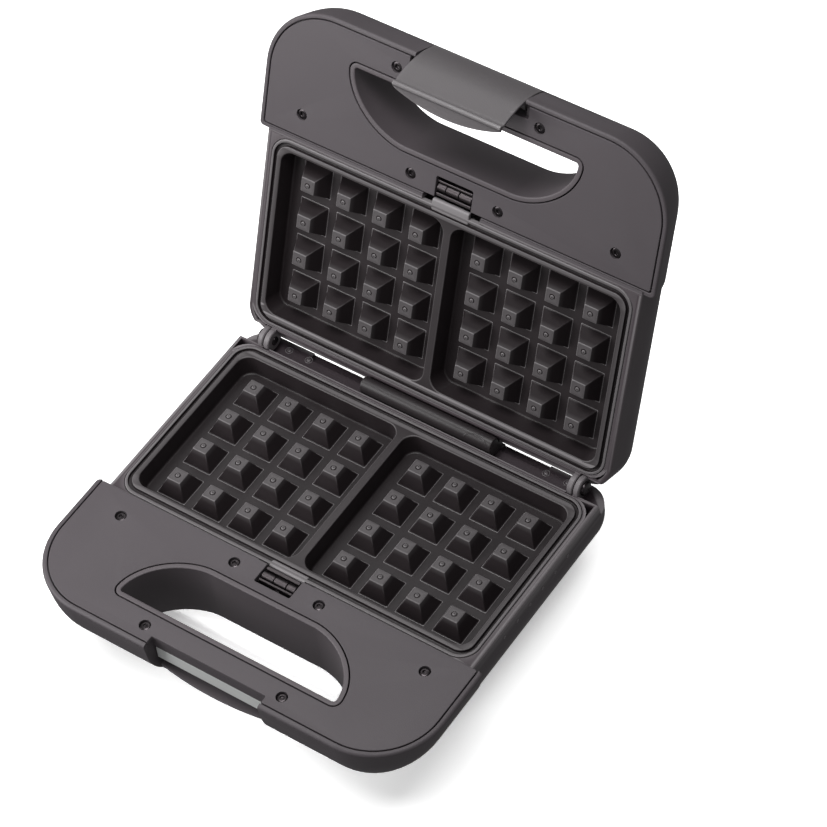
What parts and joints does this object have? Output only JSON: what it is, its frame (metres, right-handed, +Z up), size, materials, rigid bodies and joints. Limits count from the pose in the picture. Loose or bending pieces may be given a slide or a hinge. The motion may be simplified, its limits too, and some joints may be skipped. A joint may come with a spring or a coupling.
{
  "type": "waffle maker",
  "caption": "Electric waffle maker standing open: hinged lid, lift-out patterned plates, spring latch, release clips and finger openings through both grips.",
  "frame": {"origin": "middle of the object's footprint box, on the surface its feet stand on", "axes": "+Z up; +Y from the grips towards the hinge; +X to the right for a person who faces the grips"},
  "size_m": [0.2404, 0.2929, 0.2263],
  "materials": {
    "charcoal_plastic": "fine matte grain",
    "grip_plastic": "fine matte grain",
    "latch_plastic": "soft satin",
    "catch_plastic": "satin",
    "non_stick": "dark non-stick coating with a soft sheen",
    "steel": "bright drawn",
    "aluminised": "mill",
    "rubber": "moulded",
    "ceramic": "unglazed",
    "red_lens": "clear tint",
    "green_lens": "clear tint",
    "lamp_glass": "clear"
  },
  "bodies": {
    "base": {"base_housing": "charcoal_plastic", "base_grip_plate": "grip_plastic", "base_grip_sleeve": "grip_plastic", "base_grip_screw_1": "steel", "base_grip_screw_2": "steel", "base_grip_screw_3": "steel", "base_grip_screw_4": "steel", "base_grip_screw_5": "steel", "base_grip_screw_6": "steel", "base_clip_carrier": "charcoal_plastic", "base_clip_spring": "steel", "base_heating_element": "steel", "base_reflector": "aluminised", "base_thermostat": "ceramic", "base_thermal_fuse": "steel", "terminal_block": "ceramic", "cord_gland": "rubber", "base_wiring": "rubber", "wiring_cover": "charcoal_plastic", "latch_catch": "catch_plastic", "hinge_pin_left": "steel", "hinge_pin_right": "steel", "foot_front_left": "rubber", "foot_front_right": "rubber", "foot_rear_left": "rubber", "foot_rear_right": "rubber", "bottom_screw_1": "steel", "bottom_screw_2": "steel", "bottom_screw_3": "steel", "bottom_screw_4": "steel"},
    "base_plate": {"base_cooking_plate": "non_stick"},
    "base_clip": {"base_release_clip": "steel"},
    "lid": {"lid_housing": "charcoal_plastic", "lid_grip_plate": "grip_plastic", "lid_grip_sleeve": "grip_plastic", "lid_grip_screw_1": "steel", "lid_grip_screw_2": "steel", "lid_grip_screw_3": "steel", "lid_grip_screw_4": "steel", "lid_grip_screw_5": "steel", "lid_grip_screw_6": "steel", "lid_clip_carrier": "charcoal_plastic", "lid_clip_spring": "steel", "lid_heating_element": "steel", "lid_reflector": "aluminised", "lid_thermostat": "ceramic", "lid_thermal_fuse": "steel", "power_lens": "red_lens", "ready_lens": "green_lens", "power_lamp": "lamp_glass", "ready_lamp": "lamp_glass", "lamp_board": "rubber", "latch_pin": "steel", "latch_spring": "steel"},
    "lid_plate": {"lid_cooking_plate": "non_stick"},
    "lid_clip": {"lid_release_clip": "steel"},
    "latch": {"latch": "latch_plastic"}
  },
  "joints": [
    {"name": "lid_hinge", "type": "hinge", "parent": "base", "child": "lid", "pos_m": [0, 0.0484, 0.042], "axis": [1, 0, 0], "range_deg": [0, 111]},
    {"name": "latch_pivot", "type": "hinge", "parent": "lid", "child": "latch", "pos_m": [0, 0.12475, 0.21857], "axis": [-1, 0, 0], "range_deg": [0, 20], "stiffness_Nm_per_rad": 0.03, "springref_deg": -11.46, "deforming": ["latch_spring"]},
    {"name": "base_clip_slide", "type": "slide", "parent": "base", "child": "base_clip", "axis": [0, -1, 0], "range_m": [0, 0.002], "stiffness_N_per_m": 300, "springref_m": -0.001, "deforming": ["base_clip_spring"]},
    {"name": "lid_clip_slide", "type": "slide", "parent": "lid", "child": "lid_clip", "axis": [0, 0.3584, 0.9336], "range_m": [0, 0.002], "stiffness_N_per_m": 300, "springref_m": -0.001, "deforming": ["lid_clip_spring"]},
    {"name": "base_plate_lift", "type": "slide", "parent": "base", "child": "base_plate", "axis": [0, 0, -1], "range_m": [-0.03, 0]},
    {"name": "lid_plate_lift", "type": "slide", "parent": "lid", "child": "lid_plate", "axis": [0, 0.9336, -0.3584], "range_m": [-0.016, 0]}
  ]
}
